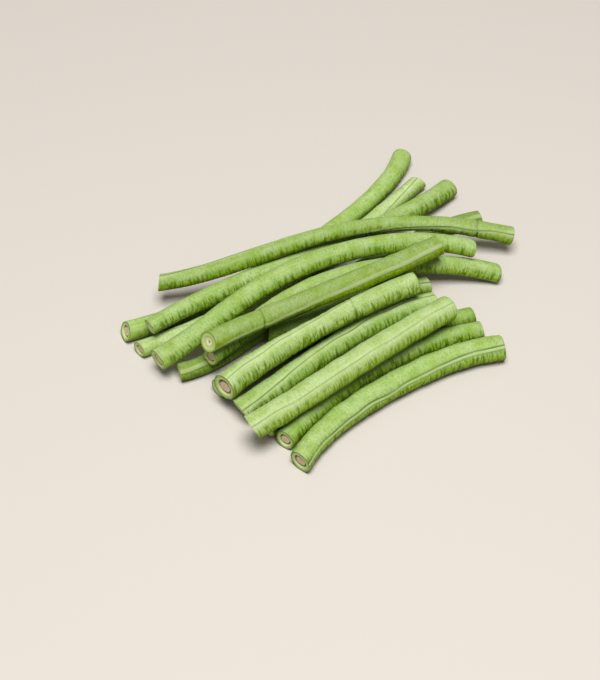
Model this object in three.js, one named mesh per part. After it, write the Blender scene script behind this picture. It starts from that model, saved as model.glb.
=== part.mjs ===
// A loose pile of cut green bean pods, lying on a level surface at z = 0.
// Sizes are in millimetres, +Z is up, and +X runs along the beans toward the fanned-out ends.
// The origin is on the surface, under the middle of the pile.
import * as THREE from 'three';

// Driving dimensions of a pod
const STATION_PITCH = 5.2;
const SEED_PITCH = 13;
const SEED_RELIEF = 0.03;
const OVAL = 0.985;
const SEAM_LIP_ANGLE = 10;
const SEAM_DEPTH = 0.05;
const FLANK_POINTS = 4;
const CREASE_DEPTH = 0.07;
const CREASE_HALF_WIDTH = 1.3;
const CUT_SHOULDER = 0.9;
const CUT_ROUNDING = 0.95;
const LEAN_REACH = 12;

// Driving dimensions of a cut end, as shares of the pod's radius except the depths
const HOLLOW_SHARE = 0.66;
const HOLLOW_FLOOR_SHARE = 0.58;
const PITH_DEPTH = 0.7;
const SEEDED_DEPTH = 5.5;

// Driving dimensions of a seed that the knife has cut through
const SEED_SHARE = 0.47;
const SEED_SHIFT_SHARE = 0.03;
const SEED_SET_BACK = 0.5;
const SEED_LENGTH = 3.6;
const SEED_SIDES = 10;

// Skin closer to the surface than this is pressed flat on it
const PRESS_BAND = 0.45;

// The middle of the pile, in the routes' own numbers
const MIDDLE = { x: 0.295, y: -0.622 };

const COLOURS = {
  skinLight: 0xa6c765,
  skinMid: 0x8fb54c,
  skinDeep: 0x7aa43c,
  seed: 0xc9b98f,
};

const radians = THREE.MathUtils.degToRad;

// Each pod: its radius at even steps from the near cut to the far cut, and the angle of one seam in the
// same way, measured round the pod from straight up toward the front. The route is a short row of
// control points that pull a smooth curve; a pod with no heights lies on the surface.
// cuts: how far the near and the far cut lean along the pod toward the front and the top, in degrees.
// creases: places of sharp folds along the pod, as shares.
const PODS = [
  {
    name: 'bean_fan_back', colour: 'skinMid', seeded: true,
    radii: [3.9, 3.5, 3.4, 3.5, 4.1], seam: [-50, -60],
    route: [[-75.5, 31.5], [-47, 25.5], [-13.5, 25], [9.5, 37.4], [47, 35.4], [68, 56.5]],
    cuts: [[5, 20], [-2, -2]], creases: [],
  },
  {
    name: 'bean_fan_middle', colour: 'skinLight', seeded: true,
    radii: [3.2, 3.4, 3.4], seam: [-60, 150, -5],
    route: [[-75.2, 21.4], [-40.5, 17.5], [-3.5, 18.5], [30, 29.5], [65, 40.3]],
    cuts: [[15, 7], [15, -15]], creases: [0.93],
  },
  {
    name: 'bean_fan_over', colour: 'skinMid', seeded: false,
    radii: [3.3, 3.8, 3.7, 3.7, 4.2], seam: [-58, -50],
    route: [[-69.5, 22.5, 11.5], [-33.5, 30.5, 7], [2.5, 15.5, 19], [40, 20.5, 8], [73.5, 30.3, 4.35]],
    cuts: [[-7, -14], [0, -10]], creases: [],
  },
  {
    name: 'bean_long_hidden', colour: 'skinDeep', seeded: false,
    radii: [3.6, 3.5, 3.1, 3.1, 3.2], seam: [38, 30],
    route: [[-68, 3.5], [-39, -6], [-10, 22.5], [16.5, 4.5], [47, 21.5], [74.5, 10]],
    cuts: [[3, -3], [8, -12]], creases: [],
  },
  {
    name: 'bean_arched', colour: 'skinMid', seeded: true,
    radii: [3.5, 3.5, 3.7], seam: [-40, -52],
    route: [[-57.5, -1.5, 10.4], [-33, 1, 14], [-9, 15.5, 15.5], [19, 3.5, 14], [42, -3, 10], [62, -18.5, 3.7]],
    cuts: [[7, 16], [18, 7]], creases: [],
  },
  {
    name: 'bean_long_bowed', colour: 'skinMid', seeded: true,
    radii: [4.3, 4, 4, 3.8, 3.5], seam: [-64, -48],
    route: [
      [-74, 8.6, 9.1], [-47.5, 6, 14.2], [-21, 24, 18.5],
      [6, 13, 18.5], [36, 10.5, 17.5], [55.7, -9.9, 13.1],
    ],
    cuts: [[12, 7], [20, 10]], creases: [],
  },
  {
    name: 'bean_straight_top', colour: 'skinLight', seeded: false,
    radii: [4.1, 3.9, 4.3, 4.2], seam: [92, 56, 46],
    route: [[-58, -2, 19.5], [-24.5, -2, 20], [8.5, -7, 20], [41.5, -6.5, 20.5]],
    cuts: [[11, 21], [-6, -8]], creases: [0.22],
  },
  {
    name: 'bean_thin_top', colour: 'skinMid', seeded: false,
    radii: [3.3, 3.5, 3.1, 3, 3.8], seam: [-14, -57, -145],
    route: [
      [-55.5, 40.4, 11.5], [-29.5, 26.9, 14.7], [-2.5, 22.2, 25.3],
      [28.5, 22.8, 21], [54.5, 9, 13.5], [75.5, -8.5, 8.5],
    ],
    cuts: [[-7, 11], [9, 5]], creases: [0.9],
  },
  {
    name: 'bean_wide_end', colour: 'skinLight', seeded: true,
    radii: [5.2, 4.7, 3.9, 4.3, 4.5], seam: [15, -12, -70],
    route: [[-61, -18, 12], [-39.5, -13, 13.5], [-18, -14, 14.5], [4, -11, 15], [26, -14, 14.5]],
    cuts: [[2, 9], [-1, -3]], creases: [0.68],
  },
  {
    name: 'bean_under_wide_end', colour: 'skinMid', seeded: false,
    radii: [3.7, 3.3, 3.3], seam: [40, 24],
    route: [[-60, -11.2], [-35, -6], [-12, -13], [12.5, 1.5], [36, -9]],
    cuts: [[-4, 2], [15, 0]], creases: [],
  },
  {
    name: 'bean_short_gap', colour: 'skinDeep', seeded: false,
    radii: [2.8, 2.8, 2.8], seam: [-30, -40],
    route: [[-31.3, -0.7, 7.2], [-6.5, -1.6, 2.4], [15.5, 2.5, 3], [37.5, 3.5, 2.9]],
    cuts: [[-34, 0], [5, 0]], creases: [],
  },
  {
    name: 'bean_low_seamed', colour: 'skinMid', seeded: false,
    radii: [4.8, 4.6, 4.4, 4.5, 4.6], seam: [36, 10, 4, -8],
    route: [[-58.5, -25.5], [-36.5, -21.5], [-15.5, -17], [8, -11], [32, -19.3]],
    cuts: [[-6, -20], [15, 0]], creases: [],
  },
  {
    name: 'bean_broad_top', colour: 'skinLight', seeded: false,
    radii: [4.9, 5.2, 5.2, 5.1, 4.9], seam: [30, 30, 22],
    route: [[-62, -39.4, 12.3], [-39, -39.3, 13.6], [-16, -34, 14.5], [7, -32.5, 14.5], [29.5, -31, 14.5]],
    cuts: [[-3, -19], [3, 6]], creases: [],
  },
  {
    name: 'bean_under_broad', colour: 'skinDeep', seeded: false,
    radii: [3.5, 3.4, 3.5], seam: [-35, -50],
    route: [[-54.5, -37], [-32, -29], [-8, -22.6], [16.5, -24], [41.2, -31.2]],
    cuts: [[-5, 0], [7, -3]], creases: [],
  },
  {
    name: 'bean_front_inner', colour: 'skinMid', seeded: true,
    radii: [3.9, 3.9, 4, 3.9, 3.6], seam: [-48, -60],
    route: [[-51.8, -44.9], [-31, -36.5], [-8, -31], [17, -31], [39.7, -39.3]],
    cuts: [[1, 9], [2, -8]], creases: [0.44],
  },
  {
    name: 'bean_front_outer', colour: 'skinMid', seeded: true,
    radii: [4.4, 4.7, 4.9, 5, 5], seam: [66, 58, 24],
    route: [[-52.5, -56.5], [-30.5, -42.5], [-6.5, -46], [19, -41], [40.5, -51.5]],
    cuts: [[-15, 3], [5, -4]], creases: [],
  },
];

// Values given at even steps from the near cut to the far cut, read at a share of the length.
function alongPod(values, share) {
  const place = share * (values.length - 1);
  const step = Math.min(Math.floor(place), values.length - 2);
  return THREE.MathUtils.lerp(values[step], values[step + 1], place - step);
}

// The smooth curve that the control points pull, by blending neighbouring points again and again.
class Route extends THREE.Curve {
  constructor(points) {
    super();
    this.points = points;
  }

  getPoint(t, target = new THREE.Vector3()) {
    let level = this.points.map((point) => point.clone());
    while (level.length > 1) {
      level = level.slice(1).map((point, i) => level[i].clone().lerp(point, t));
    }
    return target.copy(level[0]);
  }
}

function routeOf(pod) {
  const last = pod.route.length - 1;
  const points = pod.route.map(([x, y, height], i) => (
    new THREE.Vector3(x - MIDDLE.x, y - MIDDLE.y, height ?? alongPod(pod.radii, i / last))
  ));
  return new Route(points);
}

// Angles of the ring's points, from one seam: a groove between two lips at each seam, and the flanks.
function ringAngles() {
  const angles = [];
  for (const seam of [0, 180]) {
    angles.push({ degrees: seam - SEAM_LIP_ANGLE, groove: false });
    angles.push({ degrees: seam, groove: true });
    angles.push({ degrees: seam + SEAM_LIP_ANGLE, groove: false });
    const step = (180 - 2 * SEAM_LIP_ANGLE) / (FLANK_POINTS + 1);
    for (let i = 1; i <= FLANK_POINTS; i += 1) {
      angles.push({ degrees: seam + SEAM_LIP_ANGLE + i * step, groove: false });
    }
  }
  return angles;
}

const RING = ringAngles();

// Places along the pod where a ring is set, with three closer rings across each crease.
function stationsOf(pod, length) {
  const count = Math.max(4, Math.round(length / STATION_PITCH));
  const even = Array.from({ length: count + 1 }, (_, i) => (i / count) * length);
  const isClear = (s) => pod.creases.every((c) => Math.abs(s - c * length) > 2 * CREASE_HALF_WIDTH);
  const rings = even.filter(isClear);
  for (const crease of pod.creases) {
    rings.push(crease * length - CREASE_HALF_WIDTH, crease * length, crease * length + CREASE_HALF_WIDTH);
  }
  rings.push(CUT_SHOULDER, length - CUT_SHOULDER);
  return rings.sort((a, b) => a - b);
}

// The pod's frame at a share of its length: the centre, the way along, up and front across it.
function frameAt(route, share) {
  const centre = route.getPointAt(share);
  const along = route.getTangentAt(share);
  const front = new THREE.Vector3().crossVectors(along, new THREE.Vector3(0, 0, 1)).normalize();
  const up = new THREE.Vector3().crossVectors(front, along).normalize();
  return { centre, along, front, up };
}

// Radius of the skin at a place along the pod and an angle from the seam.
function skinRadius(pod, s, length, point) {
  const flank = Math.abs(Math.sin(radians(point.degrees)));
  const betweenSeeds = 0.5 - 0.5 * Math.cos((2 * Math.PI * s) / SEED_PITCH);
  let radius = alongPod(pod.radii, s / length);
  radius *= 1 - (1 - OVAL) * flank * flank;
  radius *= 1 - SEED_RELIEF * betweenSeeds * flank;
  for (const crease of pod.creases) {
    const offset = Math.abs(s - crease * length) / CREASE_HALF_WIDTH;
    radius *= 1 - CREASE_DEPTH * Math.max(0, 1 - offset);
  }
  return point.groove ? radius * (1 - SEAM_DEPTH) : radius;
}

// How far along the pod a leaning cut lies at a point this far to the front and up.
function leanOf([toFront, toTop], frontward, upward) {
  return Math.tan(radians(toFront)) * frontward + Math.tan(radians(toTop)) * upward;
}

// One ring of points across the pod. scale shrinks it toward the centre, and inset moves it along.
function ringPoints(pod, route, length, s, { scale, inset, lean }) {
  const share = THREE.MathUtils.clamp(s / length, 0, 1);
  const { centre, along, front, up } = frameAt(route, share);
  const seam = alongPod(pod.seam, share);
  return RING.map((point) => {
    const angle = radians(seam + point.degrees);
    const radius = skinRadius(pod, s, length, point) * scale;
    const frontward = Math.sin(angle) * radius;
    const upward = Math.cos(angle) * radius;
    const result = centre.clone();
    result.addScaledVector(up, upward);
    result.addScaledVector(front, frontward);
    result.addScaledVector(along, inset + leanOf(lean, frontward, upward));
    return result;
  });
}

// A cut that isn't square leans its nearest rings too, less and less away from the cut.
function leanAt(pod, s, length) {
  const near = Math.max(0, 1 - s / LEAN_REACH);
  const far = Math.max(0, 1 - (length - s) / LEAN_REACH);
  return pod.cuts[0].map((lean, i) => lean * near + pod.cuts[1][i] * far);
}

function lowestOf(ring) {
  return Math.min(...ring.map((point) => point.z));
}

function lowered(ring, drop) {
  return ring.map((point) => new THREE.Vector3(point.x, point.y, point.z - drop));
}

// Lowers a lying pod's ring onto the surface and flattens what nearly touches it.
function pressed(ring) {
  return lowered(ring, lowestOf(ring)).map((point) => (
    point.z < PRESS_BAND ? point.setZ(0) : point
  ));
}

// A closed body through rings of equal length, each end closed by a fan to its middle.
function closedBody(rings) {
  const sides = rings[0].length;
  const points = rings.flat();
  const index = [];
  for (let r = 0; r < rings.length - 1; r += 1) {
    for (let i = 0; i < sides; i += 1) {
      const a = r * sides + i;
      const b = r * sides + ((i + 1) % sides);
      index.push(a, b + sides, a + sides, a, b, b + sides);
    }
  }
  const middle = (ring) => (
    ring.reduce((sum, p) => sum.add(p), new THREE.Vector3()).divideScalar(sides)
  );
  const first = points.push(middle(rings[0])) - 1;
  const last = points.push(middle(rings[rings.length - 1])) - 1;
  const lastRing = (rings.length - 1) * sides;
  for (let i = 0; i < sides; i += 1) {
    const next = (i + 1) % sides;
    index.push(first, next, i);
    index.push(last, lastRing + i, lastRing + next);
  }
  const geometry = new THREE.BufferGeometry();
  const numbers = points.flatMap((p) => [p.x, p.y, p.z]);
  geometry.setAttribute('position', new THREE.Float32BufferAttribute(numbers, 3));
  geometry.setIndex(index);
  geometry.computeVertexNormals();
  return geometry;
}

// The pod: the hollow's floor and edge at the near cut, the skin, and the same at the far cut.
function podGeometry(pod) {
  const route = routeOf(pod);
  const length = route.getLength();
  const nearDepth = pod.seeded ? SEEDED_DEPTH : PITH_DEPTH;
  const ring = (s, scale, inset) => (
    ringPoints(pod, route, length, s, { scale, inset, lean: leanAt(pod, s, length) })
  );
  const nearHollow = [ring(0, HOLLOW_FLOOR_SHARE, nearDepth), ring(0, HOLLOW_SHARE, 0)];
  const skin = stationsOf(pod, length).map((s) => (
    ring(s, s === 0 || s === length ? CUT_ROUNDING : 1, 0)
  ));
  const farHollow = [ring(length, HOLLOW_SHARE, 0), ring(length, HOLLOW_FLOOR_SHARE, -PITH_DEPTH)];
  const lying = pod.route[0].length === 2;
  if (!lying) {
    return closedBody([...nearHollow, ...skin, ...farHollow]);
  }
  const nearDrop = lowestOf(skin[0]);
  const farDrop = lowestOf(skin[skin.length - 1]);
  return closedBody([
    ...nearHollow.map((points) => lowered(points, nearDrop)),
    ...skin.map(pressed),
    ...farHollow.map((points) => lowered(points, farDrop)),
  ]);
}

// A seed in the near cut: its cut face just inside the hollow, its rounded back further in.
function seedGeometry(pod) {
  const route = routeOf(pod);
  const { centre, along, front, up } = frameAt(route, 0);
  const radius = pod.radii[0] * SEED_SHARE;
  const shift = pod.radii[0] * SEED_SHIFT_SHARE;
  const profile = [
    [SEED_SET_BACK, 1],
    [SEED_SET_BACK + SEED_LENGTH * 0.5, 1],
    [SEED_SET_BACK + SEED_LENGTH * 0.85, 0.7],
    [SEED_SET_BACK + SEED_LENGTH, 0.35],
  ];
  const rings = profile.map(([inward, share]) => Array.from({ length: SEED_SIDES }, (_, i) => {
    const angle = (2 * Math.PI * i) / SEED_SIDES;
    const frontward = Math.sin(angle) * radius * share;
    const upward = Math.cos(angle) * radius * share - shift;
    const result = centre.clone();
    result.addScaledVector(up, upward);
    result.addScaledVector(front, frontward);
    result.addScaledVector(along, inward + leanOf(pod.cuts[0], frontward, upward));
    return result;
  }));
  return closedBody(rings);
}

function material(colour, roughness) {
  return new THREE.MeshStandardMaterial({ color: COLOURS[colour], roughness, metalness: 0 });
}

function build() {
  const group = new THREE.Group();
  for (const pod of PODS) {
    const skin = new THREE.Mesh(podGeometry(pod), material(pod.colour, 0.5));
    skin.name = pod.name;
    group.add(skin);
    if (pod.seeded) {
      const seed = new THREE.Mesh(seedGeometry(pod), material('seed', 0.7));
      seed.name = pod.name.replace('bean', 'seed');
      group.add(seed);
    }
  }
  return group;
}

export default build();
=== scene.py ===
"""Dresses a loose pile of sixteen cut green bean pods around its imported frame.

Sizes are in millimetres, as in the part's own source, and turn to metres where a mesh is written.
The pods lie on the plane z = 0, and +X runs along them toward the fanned-out ends. Each pod follows the
same line, radii and cuts as its solid, and gets its skin, sutures, puckers and cut faces as a fine mesh.
"""

import logging
import math
from dataclasses import dataclass
from enum import Enum, IntEnum
from functools import cache

import bpy
import numpy as np
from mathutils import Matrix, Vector


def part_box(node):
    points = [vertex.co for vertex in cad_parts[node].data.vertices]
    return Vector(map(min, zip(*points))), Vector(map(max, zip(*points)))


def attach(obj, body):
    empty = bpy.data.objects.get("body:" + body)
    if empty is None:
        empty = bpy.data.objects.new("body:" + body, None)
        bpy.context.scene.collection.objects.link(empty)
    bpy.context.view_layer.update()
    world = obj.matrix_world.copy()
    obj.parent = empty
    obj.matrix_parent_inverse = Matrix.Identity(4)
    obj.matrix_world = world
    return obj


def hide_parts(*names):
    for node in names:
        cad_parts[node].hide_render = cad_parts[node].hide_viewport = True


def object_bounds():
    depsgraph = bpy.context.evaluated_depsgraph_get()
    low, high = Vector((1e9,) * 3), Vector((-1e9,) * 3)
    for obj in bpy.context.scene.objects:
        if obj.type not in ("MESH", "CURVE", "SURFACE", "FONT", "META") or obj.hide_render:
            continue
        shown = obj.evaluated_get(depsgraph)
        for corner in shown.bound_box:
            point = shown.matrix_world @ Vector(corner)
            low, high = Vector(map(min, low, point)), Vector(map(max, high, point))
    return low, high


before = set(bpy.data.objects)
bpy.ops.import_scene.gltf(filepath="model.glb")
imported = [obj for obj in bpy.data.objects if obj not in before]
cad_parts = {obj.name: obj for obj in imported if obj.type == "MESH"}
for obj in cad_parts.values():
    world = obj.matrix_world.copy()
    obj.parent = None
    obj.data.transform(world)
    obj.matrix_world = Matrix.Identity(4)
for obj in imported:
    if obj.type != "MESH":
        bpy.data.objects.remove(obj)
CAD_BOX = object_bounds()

LOG = logging.getLogger("bean_pile")

MM = 0.001
Colour = tuple[float, float, float, float]
Place = tuple[float, float, float]

# The middle of the pile, in the routes' own numbers
MIDDLE = np.array([0.295, -0.622, 0.0])
# Straight up, which the angles round a pod are measured from
STRAIGHT_UP = np.array([0.0, 0.0, 1.0])

# How finely a pod's skin is laid out, along it and round it
STATION_PITCH = 0.25
SIDES = 56
# Points crowd toward the two sutures by this share, where the finest lines are
SUTURE_CROWDING = 0.6

# What every pod shares with its solid: the distance between the seeds inside, how far the skin draws in
# between them, how narrow the pod is from flank to flank, and how far from a cut its lean reaches
SEED_PITCH = 13.0
SEED_RELIEF = 0.03
OVAL = 0.985
LEAN_REACH = 12.0

# A colour mix's sockets go by number, as those for single values and vectors have the same names
MIX_SHARE, MIX_UNDER, MIX_OVER, MIX_RESULT = 0, 6, 7, 2


def linear(hex_colour: int) -> Colour:
    """Turns an sRGB hex colour into linear red, green, blue and full alpha, by the sRGB curve.

    Args:
        hex_colour: The colour as 0xRRGGBB.

    Returns:
        The four linear channels.
    """
    channels = [((hex_colour >> shift) & 255) / 255 for shift in (16, 8, 0)]
    return (*(c / 12.92 if c <= 0.04045 else ((c + 0.055) / 1.055) ** 2.4 for c in channels), 1.0)


def add_node(
    tree: bpy.types.NodeTree,
    kind: str,
    inputs: dict | None = None,
    stops: tuple = (),
    **settings: object,
) -> bpy.types.Node:
    """Adds a node with its settings, its values and its links.

    Args:
        tree: The node tree that it joins.
        kind: The node's type, such as "ShaderNodeTexNoise".
        inputs: A value or another node's output for each input, by the input's name or number.
        stops: Places and colours of a colour ramp.
        settings: The node's own properties, by name.

    Returns:
        The new node.
    """
    node = tree.nodes.new(kind)
    for name, value in settings.items():
        setattr(node, name, value)
    for key, value in (inputs or {}).items():
        if isinstance(value, bpy.types.NodeSocket):
            tree.links.new(value, node.inputs[key])
        else:
            node.inputs[key].default_value = value
    if stops:
        elements = node.color_ramp.elements
        while len(elements) < len(stops):
            elements.new(1.0)
        for element, (place, colour) in zip(elements, stops):
            element.position = place
            element.color = colour
    return node


def ease(low: float, high: float, value: np.ndarray) -> np.ndarray:
    """Rises smoothly from 0 at low to 1 at high; low may be the larger."""
    share = np.clip((value - low) / (high - low), 0.0, 1.0)
    return share * share * (3.0 - 2.0 * share)


@dataclass(frozen=True)
class Fade:
    """A smooth change from nothing to its full strength.

    Attributes:
        strength: How strong it becomes.
        start: The value at which it sets in.
        full: The value at which it is complete, which may be the lower one.
    """

    strength: float
    start: float
    full: float

    def at(self, value: np.ndarray) -> np.ndarray:
        """Reads the change at each value."""
        return self.strength * ease(self.start, self.full, value)


class Surface(IntEnum):
    """What a ring of a pod is made of, in the order of the pod's materials."""

    SKIN = 0
    WALL = 1
    LINING = 2


@dataclass(frozen=True)
class SutureForm:
    """The cross-section of a suture.

    Attributes:
        groove: Distance of the groove from the suture's middle, and its width.
        band: How the pale band fades in toward the suture's middle.
        line: Strength of the dark line in the groove, before the suture's middle and past it.
        twin: Whether a second groove mirrors the first.
    """

    groove: tuple[float, float]
    band: Fade
    line: tuple[float, float]
    twin: bool = False

    def across(self, lateral: np.ndarray) -> tuple[np.ndarray, np.ndarray, np.ndarray]:
        """Reads the form of the suture.

        Args:
            lateral: Distance on the skin past the suture's middle, in the way that angles round the pod grow.

        Returns:
            The depth of the groove, where 1 is its bottom, and the strengths of the band and of the line.
        """
        offset, width = self.groove
        away = np.abs(lateral)
        groove = np.exp(-((((away if self.twin else lateral) - offset) / width) ** 2))
        return groove, self.band.at(away), np.where(lateral < 0, *self.line) * groove


class Suture(Enum):
    """How the seam along a pod shows: hardly, as a line, as a band with one edge, or as two lines."""

    SOFT = SutureForm(groove=(0.0, 0.35), band=Fade(0.25, 1.6, 0.6), line=(0.25, 0.25))
    LINE = SutureForm(groove=(0.0, 0.26), band=Fade(0.5, 2.4, 0.4), line=(1.0, 1.0))
    BAND = SutureForm(groove=(0.95, 0.22), band=Fade(0.9, 1.1, 0.6), line=(0.7, 0.7))
    DOUBLE = SutureForm(groove=(0.8, 0.32), band=Fade(0.5, 1.6, 0.7), line=(1.2, 0.8), twin=True)


@dataclass(frozen=True)
class SkinNoise:
    """Seeded value noise on a pod's skin, which closes on itself round the pod.

    Attributes:
        salt: Added to the pod's own random seed, so that no two noises are alike.
        pitch: Size of a cell along the pod.
        cells: Number of cells round the pod.
        strength: How far it rises and falls.
        ribbed: Whether it rises and falls by turns along the pod, broken here and there.
    """

    salt: int
    pitch: float
    cells: int
    strength: float = 1.0
    ribbed: bool = False

    # Cells along the pod before the noise repeats, which is past the end of any pod here
    ROWS = 400
    # The share of the ribs that break the turns, and the least that a rib rises
    BROKEN = 0.22
    LEAST_RIB = 0.4

    def at(self, seed: int, along: np.ndarray, degrees: np.ndarray) -> np.ndarray:
        """Reads the noise.

        Args:
            seed: The pod's random seed.
            along: Distance along the pod.
            degrees: Angle round the pod.

        Returns:
            The noise at each place, from minus its strength to its strength.
        """
        chance = np.random.default_rng(seed + self.salt)
        lattice = chance.uniform(-1.0, 1.0, (self.ROWS, self.cells))
        if self.ribbed:
            turns = np.where(np.arange(self.ROWS) % 2, -1.0, 1.0)[:, None]
            kept = np.where(chance.uniform(size=lattice.shape) < self.BROKEN, -1.0, 1.0)
            lattice = turns * kept * (self.LEAST_RIB + (1 - self.LEAST_RIB) * np.abs(lattice))
        u, v = np.broadcast_arrays(along / self.pitch, degrees / 360.0 * self.cells)
        row = np.floor(u).astype(int)
        column = np.floor(v).astype(int)
        fall_u = ease(0.0, 1.0, u - row)
        fall_v = ease(0.0, 1.0, v - column)
        below, above = row % self.ROWS, (row + 1) % self.ROWS
        left, right = column % self.cells, (column + 1) % self.cells
        near = lattice[below, left] * (1 - fall_v) + lattice[below, right] * fall_v
        far = lattice[above, left] * (1 - fall_v) + lattice[above, right] * fall_v
        return self.strength * (near * (1 - fall_u) + far * fall_u)


# Lumps in the skin, broad and small, as shares of the radius
BROAD_LUMPS = SkinNoise(salt=1, pitch=6.0, cells=4, strength=0.024)
SMALL_LUMPS = SkinNoise(salt=10, pitch=2.4, cells=5, strength=0.014)
# How far a suture weaves off its straight line, and how much its marks come and go
SUTURE_WEAVE = SkinNoise(salt=12, pitch=9.0, cells=1, strength=0.4)
SUTURE_FADING = SkinNoise(salt=6, pitch=6.0, cells=1, strength=0.2)
# A knife tears a little, so a cut isn't a perfect plane
TEAR = SkinNoise(salt=7, pitch=1.0, cells=9, strength=0.10)


@dataclass(frozen=True)
class Puckers:
    """Puckers across a pod's hanging sides: narrow valleys between rounded folds, with finer cracks.

    Attributes:
        depth: How deep they are.
        pitch: How far apart they are along the pod.
    """

    depth: float
    pitch: float

    # How far the puckers wander along the pod, by how many degrees they swerve, and how patchy they are
    WANDER = SkinNoise(salt=2, pitch=3.5, cells=6, strength=1.1)
    SWERVE = SkinNoise(salt=8, pitch=3.0, cells=6, strength=14.0)
    PATCHES = SkinNoise(salt=5, pitch=6.0, cells=4, strength=0.28)
    # Folds round the pod, and how narrow the valleys between them are
    FOLD_CELLS = 6
    FOLD_NARROWING = 2.6
    # The same for the cracks, whose pitch, wandering and depth are shares of the folds'
    CRACK_CELLS = 10
    CRACK_NARROWING = 2.2
    CRACK_PITCH = 0.5
    CRACK_DEPTH = 0.45
    # The cosine from straight up at which the skin starts to hang, which deeper puckers raise, and how much
    # lower it is where the skin hangs fully
    LEAST_REACH = 0.6
    REACH_BY_DEPTH = 0.8
    REACH_SPREAD = 0.42
    # Skin only hangs clear of a suture, and where it is stretched this share of the puckering is left
    CLEAR_OF_SUTURE = Fade(1.0, 0.03, 0.35)
    STRETCHED = 0.1
    # The share of the depth by which the folds stand out between the valleys
    FOLD_RISE = 0.25
    # Puckers as deep as this take the full painted shade of a pucker's valley
    DARK_DEPTH = 0.25

    def over(
        self, seed: int, along: np.ndarray, degrees: np.ndarray, upright: np.ndarray,
    ) -> tuple[np.ndarray, np.ndarray, np.ndarray]:
        """Lays the puckers over a pod.

        Args:
            seed: The pod's random seed.
            along: Distances along the pod, as a column.
            degrees: Angles from the suture, as a row.
            upright: Cosine of the angle from straight up at each place.

        Returns:
            How far the skin sinks in, its relief (0 in a pucker, 1 on smooth skin) and its slack (1 where it
            hangs).
        """
        wander = self.WANDER.at(seed, along, degrees)
        swerved = degrees + self.SWERVE.at(seed, along, degrees)
        fold = SkinNoise(salt=3, pitch=self.pitch, cells=self.FOLD_CELLS, ribbed=True)
        crack = SkinNoise(salt=4, pitch=self.CRACK_PITCH * self.pitch, cells=self.CRACK_CELLS, ribbed=True)
        folds = np.abs(fold.at(seed, along + wander, swerved))
        cracks = np.abs(crack.at(seed, along + self.CRACK_PITCH * wander, swerved))
        valleys = np.clip(1 - self.FOLD_NARROWING * folds, 0.0, 1.0)
        valleys = valleys + self.CRACK_DEPTH * np.clip(1 - self.CRACK_NARROWING * cracks, 0.0, 1.0)

        reach = self.LEAST_REACH + self.REACH_BY_DEPTH * self.depth
        flank = np.abs(np.sin(np.radians(degrees)))
        slack = ease(reach, reach - self.REACH_SPREAD, upright) * self.CLEAR_OF_SUTURE.at(flank)
        mask = self.STRETCHED + (1 - self.STRETCHED) * slack
        mask = mask * (1 - self.PATCHES.strength + self.PATCHES.at(seed, along, degrees))
        dip = mask * np.clip(valleys, 0.0, 1.0)
        sunk = self.depth * (dip - self.FOLD_RISE * mask)
        return sunk, 1 - dip * min(1.0, self.depth / self.DARK_DEPTH), slack


@dataclass(frozen=True)
class Creases:
    """Sharp folds that run round a pod, each as one wavering line that fades here and there.

    Attributes:
        shares: Where they are, as shares of the pod's length.
    """

    shares: tuple[float, ...] = ()

    # How far a crease wavers along the pod
    WAVER = SkinNoise(salt=11, pitch=50.0, cells=7, strength=0.5)
    # A crease is whole where this noise is above nothing, and fades below
    FADING = SkinNoise(salt=9, pitch=50.0, cells=3)
    WHOLE = Fade(1.0, -1.3, 0.0)
    # How far a crease lies off square, and how wide it is
    SKEW = 0.5
    WIDTH = 0.42

    def over(self, seed: int, along: np.ndarray, degrees: np.ndarray, length: float) -> np.ndarray:
        """Lays the creases over a pod.

        Args:
            seed: The pod's random seed.
            along: Distances along the pod, as a column.
            degrees: Angles from the suture, as a row.
            length: The pod's length.

        Returns:
            How deep each place lies in a crease, from 0 to 1.
        """
        waver = self.SKEW * np.sin(np.radians(degrees)) + self.WAVER.at(seed, along, degrees)
        kept = self.WHOLE.at(self.FADING.at(seed, along, degrees))
        fold = np.zeros_like(waver)
        for share in self.shares:
            offset = along - share * length + waver
            fold = np.maximum(fold, np.exp(-((offset / self.WIDTH) ** 2)) * kept)
        return fold


@dataclass(frozen=True)
class Grain:
    """A pattern in the skin, from a noise that is stretched to the pattern's real size.

    Attributes:
        along: Its size along the pod.
        across: Its size across the pod.
        detail: How many finer layers its noise has.
        bare: The noise's value at which the pattern has faded out.
        full: The noise's value at which it is at its strongest.
        strength: How strongly it colours the skin there.
    """

    along: float
    across: float
    detail: float
    bare: float
    full: float
    strength: float


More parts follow.
